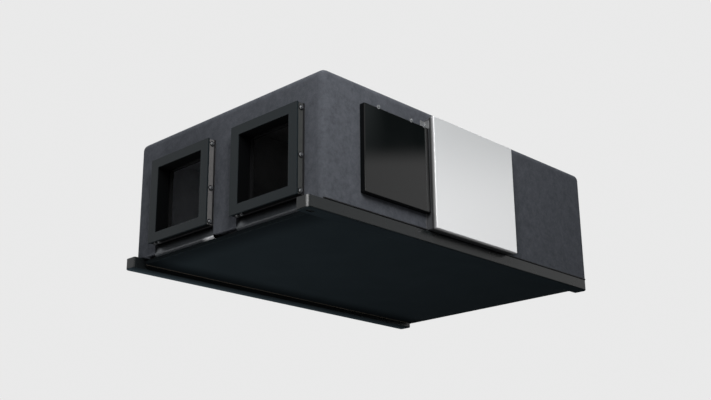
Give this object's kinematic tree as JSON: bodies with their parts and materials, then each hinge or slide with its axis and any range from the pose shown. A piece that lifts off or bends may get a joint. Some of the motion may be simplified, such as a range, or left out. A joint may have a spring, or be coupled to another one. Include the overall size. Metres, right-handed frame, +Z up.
{
  "type": "energy recovery ventilator",
  "caption": "Ceiling-hung energy recovery ventilator: a low felt-wrapped casing on channel rails, with square flanged duct collars on both ends and a control box on one long side.",
  "frame": {"origin": "on the plane the rails stand on, under the middle of the whole object's box", "axes": "+X along the casing's length, away from the duct end seen in the picture; +Y from the side with the covers to the back; +Z up"},
  "size_m": [1.282, 0.846, 0.4],
  "materials": {
    "felt_grey": "matt grey felt",
    "dark_paint": "dark satin paint",
    "pan_paint": "dark satin paint",
    "bare_sheet": "dull bare sheet",
    "black_gloss": "high gloss black",
    "white_paint": "smooth white enamel",
    "box_grey": "grey galvanised",
    "foam_black": "matt foam",
    "rubber_black": "matt"
  },
  "bodies": {
    "root": {"apron_back_left": "bare_sheet", "apron_back_right": "bare_sheet", "apron_front_left": "bare_sheet", "apron_front_right": "bare_sheet", "bottom_pan": "pan_paint", "casing_back": "dark_paint", "casing_floor": "dark_paint", "casing_front": "dark_paint", "casing_left": "dark_paint", "casing_right": "dark_paint", "casing_top": "dark_paint", "collar_back_left": "dark_paint", "collar_back_right": "dark_paint", "collar_front_left": "dark_paint", "collar_front_right": "dark_paint", "control_box": "box_grey", "control_cover": "white_paint", "cover_bracket": "box_grey", "exchanger_block": "foam_black", "felt_back": "felt_grey", "felt_front": "felt_grey", "felt_left": "felt_grey", "felt_right": "felt_grey", "felt_top": "felt_grey", "foam_back_left": "foam_black", "foam_back_right": "foam_black", "foam_divider_left": "foam_black", "foam_divider_right": "foam_black", "foam_floor_left": "foam_black", "foam_floor_right": "foam_black", "foam_front_left": "foam_black", "foam_front_right": "foam_black", "foam_roof_left": "foam_black", "foam_roof_right": "foam_black", "grommet_1": "rubber_black", "grommet_2": "rubber_black", "rail_back": "dark_paint", "rail_front": "dark_paint", "service_cover": "black_gloss", "throat_back_left": "dark_paint", "throat_back_right": "dark_paint", "throat_front_left": "dark_paint", "throat_front_right": "dark_paint"}
  },
  "joints": []
}
